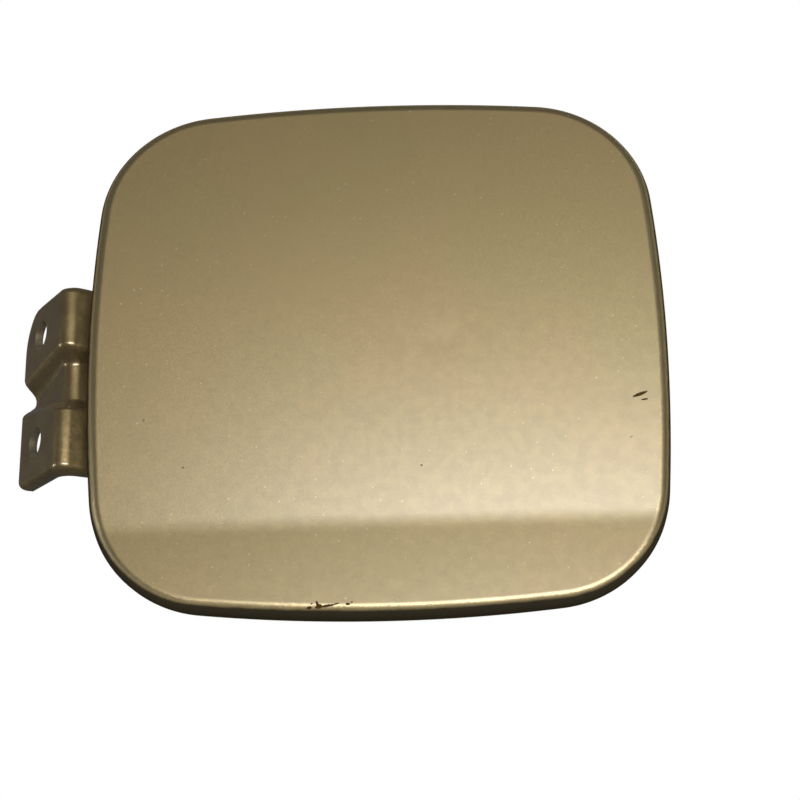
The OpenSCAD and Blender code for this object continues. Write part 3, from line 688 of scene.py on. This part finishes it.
def smooth_cad(obj, angle):
    """Round faces of a CAD node shade smoothly and its flats stay flat; its points stay where they are."""
    for attribute in ("sharp_edge", "custom_normal"):
        if attribute in obj.data.attributes:
            obj.data.attributes.remove(obj.data.attributes[attribute])
    obj.data.shade_smooth()
    weld = obj.modifiers.new("weld", "WELD")
    weld.merge_threshold = 1e-7
    split = obj.modifiers.new("split", "EDGE_SPLIT")
    split.split_angle = math.radians(angle)
    split.use_edge_sharp = False
    normals = obj.modifiers.new("normals", "WEIGHTED_NORMAL")
    normals.mode = "FACE_AREA"


# Pieces
LID_PAINT, BRACKET_SHADED_PAINT = lid_paint(), bracket_paint()
INNER_PAINT = inner_paint("inner_paint", light=(0.27, 0.212, 0.112), dark=(0.235, 0.18, 0.094))
# The leaf's paint is a darker copy of the inner paint: painted shade that sets the leaf off from the panel
LEAF_SHADED_PAINT = inner_paint("leaf_shaded_paint", light=(0.215, 0.165, 0.082), dark=(0.185, 0.14, 0.07))
ZINC, SPRING_STEEL, RUBBER = zinc(), spring_steel(), rubber()

skin = make_skin()
give(skin, LID_PAINT)
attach(skin, "lid")
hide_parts("outer_panel")

spring, coil_z = make_spring()
give(spring, SPRING_STEEL)
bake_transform(spring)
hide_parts("hinge_spring")

# Node, its material, and the angle in degrees from which an edge is sharp
for name, material, angle in (
    ("inner_panel", INNER_PAINT, 40), ("hinge_leaf", LEAF_SHADED_PAINT, 30), ("latch_striker", ZINC, 30),
    ("upper_buffer", RUBBER, 30), ("lower_buffer", RUBBER, 30), ("hinge_bracket", BRACKET_SHADED_PAINT, 35),
    ("hinge_pin", ZINC, 30),
):
    give(NODES[name], material)
    smooth_cad(NODES[name], angle)


# Studio
FLOOR_Z, FLOOR_HALF = -0.165, 4.0
# The paint mirrors a dim room, which turns white where a direction's y passes the edge
ROOM_LEVEL, ROOM_EDGE, FILL_LEVEL = 0.075, (0.92, 1.0), 0.95
LID_MIDDLE, BRACKET_MIDDLE = tuple(LID_POS * MM), (0.01, -0.012, 0.0)
# Lamps: name, target, azimuth and elevation in degrees, distance and size in metres, watts
LAMPS = (
    ("key", LID_MIDDLE, 12.2, -4.1, 1.0, (0.8, 0.15), 10.2),
    ("side", BRACKET_MIDDLE, -80.0, -10.0, 1.0, (0.18, 0.18), 3.2),
    ("back", LID_MIDDLE, 150.0, 30.0, 1.6, (0.7, 0.7), 15.0),
)


def add_floor(z, half):
    corners = [(-half, -half, z), (half, -half, z), (half, half, z), (-half, half, z)]
    obj = mesh_object("studio_floor", corners, [(0, 1, 2, 3)], smooth=False)
    give(obj, floor_material())


def add_lamp(name, target, azimuth, elevation, distance, size, watts):
    """Area lamp seen from target at azimuth (0 is -Y, positive to +X) and elevation."""
    a, e = math.radians(azimuth), math.radians(elevation)
    direction = Vector((math.sin(a) * math.cos(e), -math.cos(a) * math.cos(e), math.sin(e)))
    data = bpy.data.lights.new(name, "AREA")
    data.shape = "RECTANGLE"
    data.size, data.size_y = size
    data.energy = watts
    obj = bpy.data.objects.new(name, data)
    bpy.context.scene.collection.objects.link(obj)
    obj.location = Vector(target) + direction * distance
    obj.rotation_euler = direction.to_track_quat("Z", "Y").to_euler()


def studio_world():
    """White to the camera, dim in front and white behind to glossy rays, plain fill to the others."""
    world = bpy.data.worlds.new("studio")
    bpy.context.scene.world = world
    world.use_nodes = True
    world.node_tree.nodes.clear()
    g = Graph(world.node_tree)
    toward = g.axes(g.node("ShaderNodeTexCoord").outputs["Generated"])["Y"]
    path = g.node("ShaderNodeLightPath").outputs
    clear = g.math("MAXIMUM", path["Is Camera Ray"], path["Is Transmission Ray"])
    room = g.ramp(toward, ROOM_EDGE[0], ROOM_EDGE[1], ROOM_LEVEL, 1.0)
    seen = g.math("MAXIMUM", clear, g.math("MULTIPLY", path["Is Glossy Ray"], room))
    others = g.math("SUBTRACT", 1.0, g.math("MAXIMUM", clear, path["Is Glossy Ray"]))
    background, out = g.node("ShaderNodeBackground"), g.node("ShaderNodeOutputWorld")
    background.inputs["Color"].default_value = (1.0, 1.0, 1.0, 1.0)
    g.link(g.math("ADD", g.math("MULTIPLY", others, FILL_LEVEL), seen), background.inputs["Strength"])
    g.link(background.outputs[0], out.inputs["Surface"])


add_floor(FLOOR_Z, FLOOR_HALF)
for lamp in LAMPS:
    add_lamp(*lamp)
studio_world()

scene = bpy.context.scene
scene.view_settings.view_transform = "Standard"

# The photograph's view: place in metres, and turns about X, Y and Z in degrees
CAMERA_AT = (0.0985, -0.33555, -0.11305)
CAMERA_TURNS = (107.591, 1.692, 0.629)
FOCAL_PX, FRAME_PX, SENSOR_MM = 1307.0, 800.0, 36.0
camera_data = bpy.data.cameras.new("camera")
camera_data.sensor_width = SENSOR_MM
camera_data.lens = SENSOR_MM * FOCAL_PX / FRAME_PX
camera_data.clip_start = 0.01
camera = bpy.data.objects.new("camera", camera_data)
scene.collection.objects.link(camera)
rotation = Euler([math.radians(turn) for turn in CAMERA_TURNS]).to_matrix().to_4x4()
camera.matrix_world = Matrix.Translation(CAMERA_AT) @ rotation
scene.camera = camera
